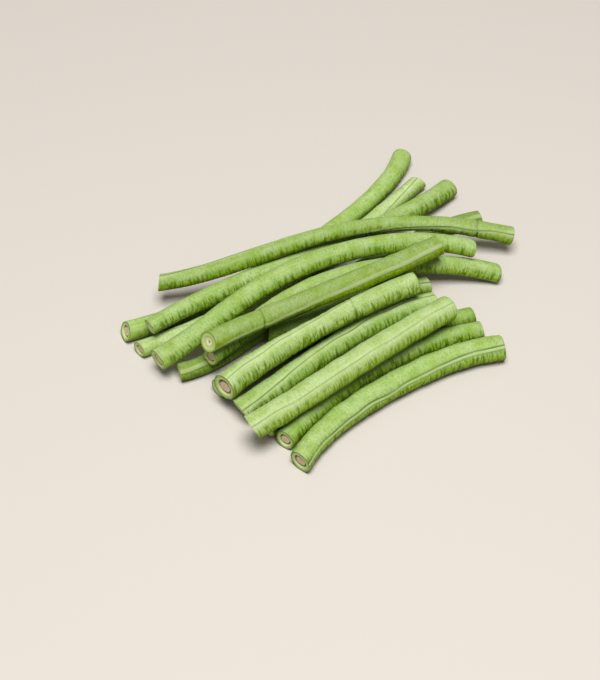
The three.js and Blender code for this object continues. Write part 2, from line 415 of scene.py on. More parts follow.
@dataclass(frozen=True)
class PodSkin:
    """Fresh pod skin, grown and unpeeled: a thin waxy cuticle over juicy green flesh.

    It gives the eye a faint satin shine on the tops, paler crests between puckers painted with shade, a pale
    band along the sutures, and painted shade, a richer, deeper green, on the sides that hang down.

    Attributes:
        slot: The record's material slot.
        body: Hex colour of the skin between crest and pucker.
        crest: Hex colour of the raised skin.
        flank: Hex colour of the painted shade on the sides that hang down.
        valley: Hex colour of the painted shade at the bottom of a pucker and in the crinkles, and of the
            pores.
        band: Hex colour of the pale band along a suture.
        line: Hex colour of the fine line in a suture, and of the painted shade in the creases.
    """

    slot: str
    body: int
    crest: int
    flank: int
    valley: int
    band: int
    line: int

    # Real sizes of the skin's patterns, the crinkles and the pores drawn coarser so that they show
    GRAINS = {
        "mottle": Grain(along=5.0, across=5.0, detail=3.0, bare=0.35, full=0.65, strength=0.6),
        "vein": Grain(along=14.0, across=0.7, detail=2.0, bare=0.45, full=0.72, strength=0.22),
        "pore": Grain(along=0.5, across=1.25, detail=4.0, bare=0.54, full=0.32, strength=0.4),
        "crinkle": Grain(along=0.85, across=5.0, detail=2.0, bare=0.51, full=0.4, strength=1.0),
    }
    PORE_DEPTH_MM = 0.22
    # Relief from which the skin is clear of the puckers' painted shade
    SMOOTH_RELIEF = 0.85
    # How strongly the crinkles' painted shade colours stretched skin and hanging skin
    CRINKLES_STRETCHED, CRINKLES_HANGING = 0.08, 0.9
    # How matt the skin is at the bottom of a pucker, and under its full coat of wax
    BARE_ROUGHNESS, WAXED_ROUGHNESS = 0.75, 0.55

    @cache
    def material(self) -> bpy.types.Material:
        """Makes the skin material.

        Returns:
            The material, shared by the pods with this skin.
        """
        made = bpy.data.materials.new("waxy_pod_" + self.slot)
        made.use_nodes = True
        tree = made.node_tree
        tree.nodes.clear()
        place = add_node(tree, "ShaderNodeAttribute", attribute_name="straight").outputs["Vector"]
        marks = {
            name: add_node(tree, "ShaderNodeAttribute", attribute_name=name).outputs["Fac"]
            for name in ("relief", "slack", "band", "line", "tone", "richness", "painted_side_shade")
        }

        noises, shown = {}, {}
        for name, grain in self.GRAINS.items():
            stretched = add_node(
                tree, "ShaderNodeVectorMath",
                {0: place, 1: (1 / grain.along, 1 / grain.across, 1 / grain.across)}, operation="MULTIPLY",
            )
            noise = add_node(
                tree, "ShaderNodeTexNoise",
                {"Vector": stretched.outputs["Vector"], "Scale": 1.0, "Detail": grain.detail},
            )
            faded = add_node(
                tree, "ShaderNodeMapRange",
                {
                    "Value": noise.outputs["Fac"],
                    "From Min": grain.bare, "From Max": grain.full, "To Max": grain.strength,
                },
            )
            noises[name], shown[name] = noise.outputs["Fac"], faded.outputs["Result"]

        # Mottling keeps to the raised skin, and the crinkles' painted shade shows most where the skin hangs
        raised = add_node(
            tree, "ShaderNodeMapRange", {"Value": marks["relief"], "From Max": self.SMOOTH_RELIEF},
            interpolation_type="SMOOTHSTEP",
        )
        on_crests = add_node(
            tree, "ShaderNodeMath", {0: shown["mottle"], 1: raised.outputs["Result"]},
            operation="MULTIPLY",
        )
        crinkling = add_node(
            tree, "ShaderNodeMapRange",
            {"Value": marks["slack"], "To Min": self.CRINKLES_STRETCHED, "To Max": self.CRINKLES_HANGING},
        )
        crinkle_shade = add_node(
            tree, "ShaderNodeMath", {0: shown["crinkle"], 1: crinkling.outputs["Result"]},
            operation="MULTIPLY",
        )

        # From the painted shade at the bottom of a pucker up, each layer of colour lies over the one before;
        # the hanging sides and the crinkles take painted shade as well
        layers = (
            (raised.outputs["Result"], self.body),
            (on_crests.outputs["Value"], self.crest),
            (shown["vein"], self.band),
            (marks["painted_side_shade"], self.flank),
            (shown["pore"], self.valley),
            (crinkle_shade.outputs["Value"], self.valley),
            (marks["band"], self.band),
            (marks["line"], self.line),
        )
        colour = linear(self.valley)
        for share, over in layers:
            mixed = add_node(
                tree, "ShaderNodeMix", {MIX_SHARE: share, MIX_UNDER: colour, MIX_OVER: linear(over)},
                data_type="RGBA",
            )
            colour = mixed.outputs[MIX_RESULT]
        # The tone and richness marks carry each pod's own tone and the painted shade of its underside
        toned = add_node(
            tree, "ShaderNodeHueSaturation",
            {"Color": colour, "Saturation": marks["richness"], "Value": marks["tone"]},
        )

        # Wax is thinner at the bottom of a pucker, so it is duller there
        dull = add_node(
            tree, "ShaderNodeMapRange",
            {"Value": marks["relief"], "To Min": self.BARE_ROUGHNESS, "To Max": self.WAXED_ROUGHNESS},
        )
        bump = add_node(
            tree, "ShaderNodeBump",
            {"Height": noises["pore"], "Strength": 1.0, "Distance": self.PORE_DEPTH_MM * MM},
        )
        shader = add_node(
            tree, "ShaderNodeBsdfPrincipled",
            {
                "Base Color": toned.outputs["Color"],
                "Roughness": dull.outputs["Result"],
                "Normal": bump.outputs["Normal"],
                "IOR": 1.45,
                "Specular IOR Level": 0.08,
                "Subsurface Weight": 0.06,
                "Subsurface Radius": (0.4, 0.8, 0.1),
                "Subsurface Scale": 1.0 * MM,
                "Coat Weight": 0.04,
                "Coat Roughness": 0.4,
            },
        )
        add_node(tree, "ShaderNodeOutputMaterial", {"Surface": shader.outputs["BSDF"]})
        return made


@dataclass(frozen=True)
class CutFlesh:
    """Freshly cut flesh of a pod or a seed, sliced across with a knife.

    It gives the eye rings of colour with slightly ragged edges, moist and nearly matt.

    Attributes:
        name: The material's name.
        rings: Share of the radius and hex colour of each ring, from the middle out.
        roughness: How matt the cut is, where 1 is fully matt.
    """

    name: str
    rings: tuple[tuple[float, int], ...]
    roughness: float

    # Size and depth of the cut cells, drawn coarser than life so that they show
    CELL_MM = 0.5
    CELL_DEPTH_MM = 0.1
    # The share of the radius by which the edge of a ring wavers, as the noise goes through its usual range
    RAGGED = 0.035
    USUAL_NOISE = (0.3, 0.7)

    @cache
    def material(self) -> bpy.types.Material:
        """Makes the material of the cut.

        Returns:
            The material, coloured by its place between the middle and the rim.
        """
        made = bpy.data.materials.new(self.name)
        made.use_nodes = True
        tree = made.node_tree
        tree.nodes.clear()
        place = add_node(tree, "ShaderNodeAttribute", attribute_name="straight").outputs["Vector"]
        radial = add_node(tree, "ShaderNodeAttribute", attribute_name="radial").outputs["Fac"]
        cells = add_node(
            tree, "ShaderNodeTexNoise", {"Vector": place, "Scale": 1 / self.CELL_MM, "Detail": 3.0},
        )
        least, most = self.USUAL_NOISE
        waver = add_node(
            tree, "ShaderNodeMapRange",
            {
                "Value": cells.outputs["Fac"],
                "From Min": least, "From Max": most, "To Min": -self.RAGGED, "To Max": self.RAGGED,
            },
        )
        ragged = add_node(tree, "ShaderNodeMath", {0: radial, 1: waver.outputs["Result"]}, operation="ADD")
        ramp = add_node(
            tree, "ShaderNodeValToRGB", {"Fac": ragged.outputs["Value"]},
            stops=tuple((share, linear(colour)) for share, colour in self.rings),
        )
        bump = add_node(
            tree, "ShaderNodeBump",
            {"Height": cells.outputs["Fac"], "Strength": 0.5, "Distance": self.CELL_DEPTH_MM * MM},
        )
        shader = add_node(
            tree, "ShaderNodeBsdfPrincipled",
            {
                "Base Color": ramp.outputs["Color"],
                "Roughness": self.roughness,
                "Normal": bump.outputs["Normal"],
                "IOR": 1.4,
                "Subsurface Weight": 0.15,
                "Subsurface Radius": (0.8, 1.0, 0.4),
                "Subsurface Scale": 1.0 * MM,
            },
        )
        add_node(tree, "ShaderNodeOutputMaterial", {"Surface": shader.outputs["BSDF"]})
        return made


# The same skin from pale to deep, as pods of one bunch differ
SKIN_LIGHT = PodSkin(
    "skin_light",
    body=0x99B466, crest=0xB6CB9C, flank=0x9CBC30, valley=0x62820F, band=0xC8D8A8, line=0x4E6E10,
)
SKIN_MID = PodSkin(
    "skin_mid",
    body=0x8CAB52, crest=0xABC38B, flank=0x8FB322, valley=0x557808, band=0xBED09A, line=0x42620C,
)
SKIN_DEEP = PodSkin(
    "skin_deep",
    body=0x7D9E40, crest=0x98B468, flank=0x7A9C16, valley=0x4A6C06, band=0xAAC07C, line=0x3A580A,
)

# Juicy wall, sliced: it gives the eye a pale green ring with a dark green edge where the skin starts
WALL = CutFlesh(
    "cut_pod_wall",
    (
        (0.60, 0xA09A70), (0.69, 0xC2C294), (0.78, 0xABBE72),
        (0.86, 0x94B154), (0.94, 0x7A9C3A), (0.98, 0x48700F),
    ),
    roughness=0.5,
)
# Spongy lining, sliced: it gives the eye a dry, nearly white spot round a small pore, painted dark with the
# shade inside it
PITH = CutFlesh(
    "spongy_pod_lining",
    (
        (0.06, 0x34481A), (0.12, 0xB4BE90), (0.22, 0xDDE2C6),
        (0.36, 0xB9C98C), (0.54, 0xA9BC74), (0.62, 0xB6C684),
    ),
    roughness=0.7,
)
# Young seed, sliced: it gives the eye a cream to beige disc with a darker coat round it
SEED_FLESH = CutFlesh(
    "young_bean_seed",
    ((0.0, 0xD2BCA4), (0.4, 0xC6AC92), (0.75, 0xD8C6AC), (0.92, 0xB8A27E), (1.0, 0x8F8252)),
    roughness=0.55,
)


def write_mesh(
    name: str,
    rings: np.ndarray,
    surfaces: np.ndarray,
    marks: dict[str, np.ndarray],
    materials: list[bpy.types.Material],
) -> bpy.types.Object:
    """Writes a closed body through rings of equal length, each end closed by a fan to its middle.

    Args:
        name: The new object's name.
        rings: Points of each ring, as rings by sides by three, in millimetres.
        surfaces: For each gap between rings, which material its faces take.
        marks: Values or vectors at the points, by attribute name, as rings by sides or by three more.
        materials: The materials, in the order that surfaces counts them.

    Returns:
        The object, linked to the scene.
    """
    count, sides = rings.shape[:2]
    index = np.arange(count * sides).reshape(count, sides)
    turned = np.roll(index, -1, axis=1)
    quads = np.stack([index[:-1], turned[:-1], turned[1:], index[1:]], axis=-1).reshape(-1, 4)
    first, last = count * sides, count * sides + 1
    near = np.stack([np.full(sides, first), turned[0], index[0]], axis=-1)
    far = np.stack([np.full(sides, last), index[-1], turned[-1]], axis=-1)
    points = np.concatenate([rings.reshape(-1, 3), rings[[0, -1]].mean(axis=1)])
    mesh = bpy.data.meshes.new(name)
    mesh.from_pydata((points * MM).tolist(), [], quads.tolist() + near.tolist() + far.tolist())
    for material in materials:
        mesh.materials.append(material)
    chosen = np.concatenate([np.repeat(surfaces, sides), np.repeat(surfaces[[0, -1]], sides)])
    mesh.polygons.foreach_set("material_index", chosen.astype(np.int32))
    mesh.polygons.foreach_set("use_smooth", np.ones(len(chosen), dtype=bool))
    for mark, values in marks.items():
        ends = values[[0, -1]].mean(axis=1)
        if values.ndim == 3:
            flat = np.concatenate([values.reshape(-1, 3), ends])
            mesh.attributes.new(mark, "FLOAT_VECTOR", "POINT").data.foreach_set("vector", flat.ravel())
        else:
            flat = np.concatenate([values.ravel(), ends])
            mesh.attributes.new(mark, "FLOAT", "POINT").data.foreach_set("value", flat)
    mesh.update()
    piece = bpy.data.objects.new(name, mesh)
    bpy.context.scene.collection.objects.link(piece)
    return piece


def report(piece: bpy.types.Object, node: str) -> None:
    """Logs a finished piece, its triangles and how far its box is from its solid's box.

    Args:
        piece: The finished piece.
        node: Name of the solid that it replaces.
    """
    corners = np.array([tuple(corner) for corner in piece.bound_box])
    low, high = (np.array(corner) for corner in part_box(node))
    off = max(np.abs(corners.min(axis=0) - low).max(), np.abs(corners.max(axis=0) - high).max())
    triangles = sum(len(face.vertices) - 2 for face in piece.data.polygons)
    LOG.info("%s: %d triangles, box within %.2f mm of its solid's", piece.name, triangles, off / MM)


@dataclass(frozen=True)
class Track:
    """The line that a pod follows, read at places along it.

    Attributes:
        points: The control points that pull the curve, in millimetres.
    """

    points: tuple[Place, ...]

    # Points on the curve that places along it are read between
    SAMPLES = 2001

    def _dense(self) -> tuple[np.ndarray, np.ndarray]:
        """Follows the curve closely, by drawing the control points together step by step.

        Returns:
            Many points on the curve, and the distance along it to each.
        """
        t = np.linspace(0.0, 1.0, self.SAMPLES)[:, None, None]
        level = np.repeat(np.array(self.points)[None], len(t), axis=0)
        while level.shape[1] > 1:
            level = level[:, :-1] * (1 - t) + level[:, 1:] * t
        curve = level[:, 0]
        steps = np.linalg.norm(np.diff(curve, axis=0), axis=1)
        return curve, np.concatenate([[0.0], np.cumsum(steps)])

    @property
    def length(self) -> float:
        """Length of the curve."""
        return float(self._dense()[1][-1])

    def frames(self, along: np.ndarray) -> tuple[np.ndarray, np.ndarray, np.ndarray, np.ndarray]:
        """Reads the pod's own directions at places along it.

        Args:
            along: Distances along the curve.

        Returns:
            The centre, the way along, the way up and the way to the front, a row for each place.
        """
        curve, reached = self._dense()
        tangents = np.gradient(curve, reached, axis=0)
        centre = np.stack([np.interp(along, reached, curve[:, k]) for k in range(3)], axis=-1)
        way = np.stack([np.interp(along, reached, tangents[:, k]) for k in range(3)], axis=-1)
        way /= np.linalg.norm(way, axis=1, keepdims=True)
        front = np.cross(way, STRAIGHT_UP)
        front /= np.linalg.norm(front, axis=1, keepdims=True)
        return centre, way, np.cross(front, way), front


@dataclass(frozen=True)
class Pod:
    """One cut length of pod, with its skin, its two sutures and both cut ends.

    Attributes:
        node: Name of its solid in the frame.
        skin: Its skin's finish.
        radii: Radius at even steps from the near cut to the far cut.
        seam: Angle of one suture from straight up toward the front, at even steps too.
        route: Control points of its line; a pod with no heights lies on the surface.
        cuts: How far the near and the far cut lean toward the front and the top, in degrees.
        puckers: The puckers across its flanks.
        seeded: Whether the near cut lays open a hollow with a seed.
        creases: The sharp folds round it.
        suture: How its sutures show.
        mark: How strongly they show, where 1 is plainly.
        dome: How far the skin curls in over the far cut.
        tone: Brightness of its skin, where 1 is as its finish says.
        richness: Strength of its skin's colour, where 1 is as its finish says.
    """

    node: str
    skin: PodSkin
    radii: tuple[float, ...]
    seam: tuple[float, ...]
    route: tuple[tuple[float, ...], ...]
    cuts: tuple[tuple[float, float], tuple[float, float]]
    puckers: Puckers
    seeded: bool = False
    creases: Creases = Creases()
    suture: Suture = Suture.SOFT
    mark: float = 1.0
    dome: float = 0.8
    tone: float = 1.0
    richness: float = 0.985

    # Rings of a cut from the middle out: share of the radius, and depth below the cut
    SEEDED_CUT = (
        (0.10, 5.45), (0.30, 5.4), (0.48, 5.3), (0.55, 4.6),
        (0.575, 3.2), (0.60, 1.8), (0.63, 0.6), (0.65, 0.15),
    )
    PITH_CUT = (
        (0.03, 1.0), (0.07, 0.8), (0.10, 0.45), (0.16, 0.3),
        (0.30, 0.22), (0.46, 0.26), (0.58, 0.24), (0.64, 0.1),
    )
    WALL_CUT = (
        (0.68, 0.0), (0.74, 0.0), (0.80, 0.02), (0.86, 0.03),
        (0.91, 0.02), (0.945, 0.02), (0.975, 0.06), (1.0, 0.02),
    )
    # How far the skin curls in over the near cut, and how wide each cut stays inside its curled rim
    NEAR_DOME = 0.3
    NEAR_RIM = 0.97
    FAR_RIM = 0.86
    CURL_RINGS = 5
    # The tear changes this many times from a cut's middle to its rim, and leaves the very middle alone
    TEAR_RINGS = 3.0
    TEAR_FROM = 0.12
    # How deep a suture's groove is, and how deep a crease is as a share of the radius
    GROOVE_DEPTH = 0.14
    CREASE_DEPTH = 0.08
    # How strong the painted shade in a crease is where the skin is stretched; it is strongest where the skin
    # hangs
    CREASE_STRETCHED = 0.4
    # Puckers at least this deep show all of the skin's crinkles
    CRINKLED_DEPTH = 0.3
    # How the skin changes from the top of a pod down, by the cosine of the angle from straight up, painted as
    # shade
    # where less light falls: the hanging sides are a richer green, and the undersides are darker too
    PAINTED_UNDERSIDE_SHADE = Fade(0.5, 0.0, -0.75)
    RICHER_IN_PAINTED_SHADE = Fade(0.05, 0.8, -0.2)
    PAINTED_SIDE_SHADE = Fade(0.8, 0.8, -0.1)
    # A pod sinks onto the surface by this much, which makes its flat, and it does so evenly over this many
    # rings on either side
    SINK = 0.06
    CALM_RINGS = 6

    @property
    def lying(self) -> bool:
        """Whether the pod lies on the surface."""
        return len(self.route[0]) == 2

    @property
    def track(self) -> Track:
        """The line that the pod follows.

        Returns:
            The line, at the height of the pod's radius where the pod lies on the surface.
        """
        last = len(self.route) - 1
        points = [
            np.array([*place, self.radius_at(np.array(i / last))] if self.lying else place) - MIDDLE
            for i, place in enumerate(self.route)
        ]
        return Track(tuple(tuple(float(x) for x in point) for point in points))

    @property
    def seed_number(self) -> int:
        """The pod's own random seed, from its name."""
        return sum(i * ord(letter) for i, letter in enumerate(self.node, 1))

    def radius_at(self, share: np.ndarray) -> np.ndarray:
        """Radius before any relief, at shares of the length."""
        return np.interp(share, np.linspace(0.0, 1.0, len(self.radii)), self.radii)

    def relief(
        self, along: np.ndarray, degrees: np.ndarray, upright: np.ndarray, length: float,
    ) -> dict[str, np.ndarray]:
        """Works out the skin's radius and marks.

        Args:
            along: Distances along the pod, as a column.
            degrees: Angles from the suture, as a row.
            upright: Cosine of the angle from straight up at each place.
            length: The pod's length.

        Returns:
            By name: radius, relief (0 in a pucker, 1 on smooth skin), slack (1 where the skin hangs), band
            and line, which also carries the painted shade of the creases.
        """
        seed = self.seed_number
        sine = np.sin(np.radians(degrees))
        base = self.radius_at(along / length)
        swell = 0.5 - 0.5 * np.cos(2 * np.pi * along / SEED_PITCH)
        radius = base * (1 - (1 - OVAL) * sine**2) * (1 - SEED_RELIEF * swell * np.abs(sine))
        radius = radius * (1 + BROAD_LUMPS.at(seed, along, degrees))
        radius = radius * (1 + SMALL_LUMPS.at(seed, along, degrees))
        sunk, relief, slack = self.puckers.over(seed, along, degrees, upright)

        lateral = base * sine * np.sign(np.cos(np.radians(degrees)))
        lateral = lateral + SUTURE_WEAVE.at(seed, along, degrees)
        groove, band, line = self.suture.value.across(lateral)
        plain = self.mark * (1 - SUTURE_FADING.strength + SUTURE_FADING.at(seed, along, degrees))
        sunk = sunk + self.GROOVE_DEPTH * plain * groove

        fold = self.creases.over(seed, along, degrees, length)
        sunk = sunk + self.CREASE_DEPTH * base * fold
        # Each crease is painted with shade in the suture's line colour, strongest where the skin hangs
        crease_shade = fold * (self.CREASE_STRETCHED + (1 - self.CREASE_STRETCHED) * slack)
        return {
            "radius": radius - sunk,
            "relief": relief,
            "slack": slack * min(1.0, self.puckers.depth / self.CRINKLED_DEPTH),
            "band": band * plain,
            "line": np.maximum(line * plain, crease_shade),
        }

    def cut_rings(self, lining: tuple[tuple[float, float], ...], dome: float, rim: float) -> np.ndarray:
        """Lays out one cut, from its middle out over its curled rim.

        Args:
            lining: Rings of the lining, as shares of the radius and depths.
            dome: How far back the rim's curl starts.
            rim: Share of the radius that the cut takes up inside the curl.

        Returns:
            For each ring: its share of the radius, its depth, its distance from the end, and its surface.
        """
        turn = np.linspace(0.0, 0.5 * np.pi, self.CURL_RINGS + 1)[1:]
        flat = [(share * rim, depth, 0.0, Surface.LINING) for share, depth in lining]
        flat += [(share * rim, depth, 0.0, Surface.WALL) for share, depth in self.WALL_CUT]
        curl = [(rim + (1 - rim) * math.sin(a), 0.0, dome * (1 - math.cos(a)), Surface.SKIN) for a in turn]
        return np.array([*flat, *curl])

    def rows(self, length: float) -> tuple[np.ndarray, np.ndarray, np.ndarray, np.ndarray]:
        """Lays out the pod's rings from the bottom of the near hollow to the bottom of the far one.

        Args:
            length: The pod's length.

        Returns:
            For each ring: its place along the pod, its share of the radius, how far it is moved along the
            pod, and its surface.
        """
        lining = self.SEEDED_CUT if self.seeded else self.PITH_CUT
        near = self.cut_rings(lining, self.NEAR_DOME, self.NEAR_RIM)
        first, last = self.NEAR_DOME + STATION_PITCH, length - self.dome - STATION_PITCH
        count = round((last - first) / STATION_PITCH) + 1
        middle = np.tile((1.0, 0.0, 0.0, Surface.SKIN), (count, 1))
        middle[:, 2] = np.linspace(first, last, count)
        # The far cut is laid out like a near one, then turned round and moved to the other end
        far = self.cut_rings(self.PITH_CUT, self.dome, self.FAR_RIM)[::-1]
        far = far * (1, -1, -1, 1) + (0, 0, length, 0)
        share, inset, along, surface = np.concatenate([near, middle, far]).T
        return along, share, inset, surface.astype(int)

    def placed(
        self, track: Track, along: np.ndarray, angle: np.ndarray, radius: np.ndarray, pushed: np.ndarray,
    ) -> np.ndarray:
        """Places the skin and the cuts round the pod's line.

        Args:
            track: The line that the pod follows.
            along: Each ring's place along the pod.
            angle: Angle from straight up toward the front, at each point.
            radius: Distance from the line, at each point.
            pushed: How far each point is moved along the pod.

        Returns:
            The points of each ring, with the rings near a cut leaning as the cut does.
        """
        centre, way, up, front = track.frames(along)
        near_lean = np.outer(np.clip(1 - along / LEAN_REACH, 0, 1), self.cuts[0])
        far_lean = np.outer(np.clip(1 - (track.length - along) / LEAN_REACH, 0, 1), self.cuts[1])
        lean = np.tan(np.radians(near_lean + far_lean))
        frontward = np.sin(angle) * radius
        upward = np.cos(angle) * radius
        slid = pushed + lean[:, :1] * frontward + lean[:, 1:] * upward
        return (
            centre[:, None]
            + up[:, None] * upward[..., None]
            + front[:, None] * frontward[..., None]
            + way[:, None] * slid[..., None]
        )

    def settled(self, points: np.ndarray, surface: np.ndarray) -> np.ndarray:
        """Lowers a lying pod's rings onto the surface and flattens what touches it.

        Args:
            points: The rings.
            surface: Each ring's surface; the rings of a cut and its curl follow the skin next to them.

        Returns:
            The rings, none of them below the surface.
        """
        lowest = points[..., 2].min(axis=1)
        skin = np.flatnonzero(surface == Surface.SKIN)
        first, last = skin[self.CURL_RINGS], skin[-self.CURL_RINGS - 1]
        lowest[:first] = lowest[first]
        lowest[last:] = lowest[last]
        window = 2 * self.CALM_RINGS + 1
        calm = np.convolve(
            np.pad(lowest, self.CALM_RINGS, mode="edge"), np.full(window, 1 / window), mode="valid",
        )
        height = points[..., 2] - calm[:, None] - self.SINK
        return np.concatenate([points[..., :2], np.maximum(height, 0.0)[..., None]], axis=-1)

    def build(self) -> bpy.types.Object:
        """Builds the pod and dresses it.

        Returns:
            The finished pod.
        """
        track = self.track
        length = track.length
        along, share, inset, surface = self.rows(length)
        step = np.linspace(0.0, 2 * np.pi, SIDES, endpoint=False)
        degrees = np.degrees(step - 0.5 * SUTURE_CROWDING * np.sin(2 * step))[None, :]
        seam = np.interp(along, np.linspace(0.0, length, len(self.seam)), self.seam)[:, None]
        angle = np.radians(seam + degrees)
        upright = np.cos(angle)
        marks = self.relief(along[:, None], degrees, upright, length)
        radius = marks.pop("radius") * share[:, None]

        tear = TEAR.at(self.seed_number, self.TEAR_RINGS * share[:, None], degrees) * share[:, None]
        torn = ((surface != Surface.SKIN) & (share > self.TEAR_FROM))[:, None]
        pushed = inset[:, None] + np.where(torn, tear, 0.0)
        points = self.placed(track, along, angle, radius, pushed)
        if self.lying:
            points = self.settled(points, surface)
        # Nothing swells past the box of the solids
        points = np.clip(points, *(np.array(corner) / MM for corner in CAD_BOX))

        across = np.radians(degrees)
        marks["straight"] = np.stack(
            [along[:, None] + pushed, radius * np.cos(across), radius * np.sin(across)], axis=-1,
        )
        rim = np.where(along < 0.5 * length, self.NEAR_RIM, self.FAR_RIM)
        marks["radial"] = np.broadcast_to(np.minimum(share / rim, 1.0)[:, None], radius.shape)
        # Painted shade: the skin darkens and its green deepens toward the underside, on top of the pod's own
        # tone and richness
        marks["tone"] = self.tone * (1 - self.PAINTED_UNDERSIDE_SHADE.at(upright))
        marks["richness"] = self.richness + self.RICHER_IN_PAINTED_SHADE.at(upright)
        marks["painted_side_shade"] = self.PAINTED_SIDE_SHADE.at(upright)
        piece = write_mesh(
            self.node.replace("bean_", "pod_"), points, np.maximum(surface[:-1], surface[1:]), marks,
            [self.skin.material(), WALL.material(), PITH.material()],
        )
        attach(piece, "root")
        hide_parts(self.node)
        report(piece, self.node)
        return piece


@dataclass(frozen=True)
class CutSeed:
    """A young seed that the knife went through, loose in the mouth of its hollow.

    Attributes:
        pod: The pod that holds it.
        share: Its radius, as a share of the pod's.
        set_back: Depth of its cut face in the hollow.
        length: How far it reaches inward from its cut face.
    """

    pod: Pod
    share: float = 0.47
    set_back: float = 0.5
    length: float = 3.6

    SIDES = 40
    # Rings from the middle of the cut face over its rim to the rounded back: reach inward, and width
    FACE = ((0.0, 0.12), (0.0, 0.35), (0.0, 0.6), (0.005, 0.8), (0.015, 0.92), (0.04, 0.985))
    BACK = (
        (0.1, 1.0), (0.25, 1.0), (0.42, 0.98), (0.58, 0.9),
        (0.74, 0.76), (0.87, 0.56), (0.96, 0.32), (1.0, 0.1),
    )
    # How much wider than high it is, and how deep and how wide, in radians, the dent of its scar is
    OVAL = 0.05
    SCAR_DEPTH = 0.05
    SCAR_WIDTH = 0.5
    # How far below the pod's line it lies, as a share of the pod's radius
    SAG = 0.03

    def build(self) -> bpy.types.Object:
        """Builds the seed and dresses it.

        Returns:
            The finished seed.
        """
        node = self.pod.node.replace("bean_", "seed_")
        centre, way, up, front = (row[0] for row in self.pod.track.frames(np.array([0.0])))
        profile = np.array(self.FACE + self.BACK)
        reach, width = profile[:, :1], profile[:, 1:]
        angle = np.linspace(0.0, 2 * np.pi, self.SIDES, endpoint=False)[None, :]
        scar = self.SCAR_DEPTH * np.exp(-(((angle - np.pi) / self.SCAR_WIDTH) ** 2))
        outline = self.pod.radii[0] * self.share * (1 - self.OVAL * np.cos(2 * angle) - scar)
        upward = np.cos(angle) * width * outline - self.SAG * self.pod.radii[0]
        frontward = np.sin(angle) * width * outline
        to_front, to_top = (math.tan(math.radians(lean)) for lean in self.pod.cuts[0])
        inward = self.set_back + reach * self.length + to_front * frontward + to_top * upward
        points = centre + up * upward[..., None] + front * frontward[..., None] + way * inward[..., None]
        on_face = np.arange(len(profile))[:, None] < len(self.FACE)
        marks = {
            "straight": np.stack([inward, upward, frontward], axis=-1),
            "radial": np.broadcast_to(np.where(on_face, width, 1.0), upward.shape),
        }
        surfaces = np.zeros(len(profile) - 1, dtype=int)
        piece = write_mesh("cut_" + node, points, surfaces, marks, [SEED_FLESH.material()])
        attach(piece, "root")
        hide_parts(node)
        report(piece, node)
        return piece


@dataclass(frozen=True)
class BeanPile:
    """The whole pile, group by group.

    Attributes:
        groups: The pods of each group, by the group's name.
    """

    groups: dict[str, tuple[Pod, ...]]

    def build(self) -> None:
        """Builds every pod, and the seed in each cut that shows one."""
        for group, pods in self.groups.items():
            LOG.info("group %s, %d pods", group, len(pods))
            for pod in pods:
                pod.build()
                if pod.seeded:
                    CutSeed(pod).build()


BACK_FAN = (
    Pod(
        "bean_fan_back", SKIN_MID, radii=(3.9, 3.5, 3.4, 3.5, 4.1), seam=(-50, -60),
        route=((-75.5, 31.5), (-47, 25.5), (-13.5, 25), (9.5, 37.4), (47, 35.4), (68, 56.5)),
        cuts=((5, 20), (-2, -2)), seeded=True, puckers=Puckers(0.14, 1.5), dome=1.9, tone=1.07,
    ),
    Pod(
        "bean_fan_middle", SKIN_LIGHT, radii=(3.2, 3.4, 3.4), seam=(-60, 150, -5),
        route=((-75.2, 21.4), (-40.5, 17.5), (-3.5, 18.5), (30, 29.5), (65, 40.3)),
        cuts=((15, 7), (15, -15)), seeded=True, puckers=Puckers(0.1, 1.4), creases=Creases((0.93,)),
        suture=Suture.LINE, mark=0.8, dome=0.5, tone=1.07,
    ),
    Pod(
        "bean_fan_over", SKIN_MID, radii=(3.3, 3.8, 3.7, 3.7, 4.2), seam=(-58, -50),
        route=((-69.5, 22.5, 11.5), (-33.5, 30.5, 7), (2.5, 15.5, 19), (40, 20.5, 8), (73.5, 30.3, 4.35)),
        cuts=((-7, -14), (0, -10)), puckers=Puckers(0.42, 2.1), dome=1.5,
    ),
)
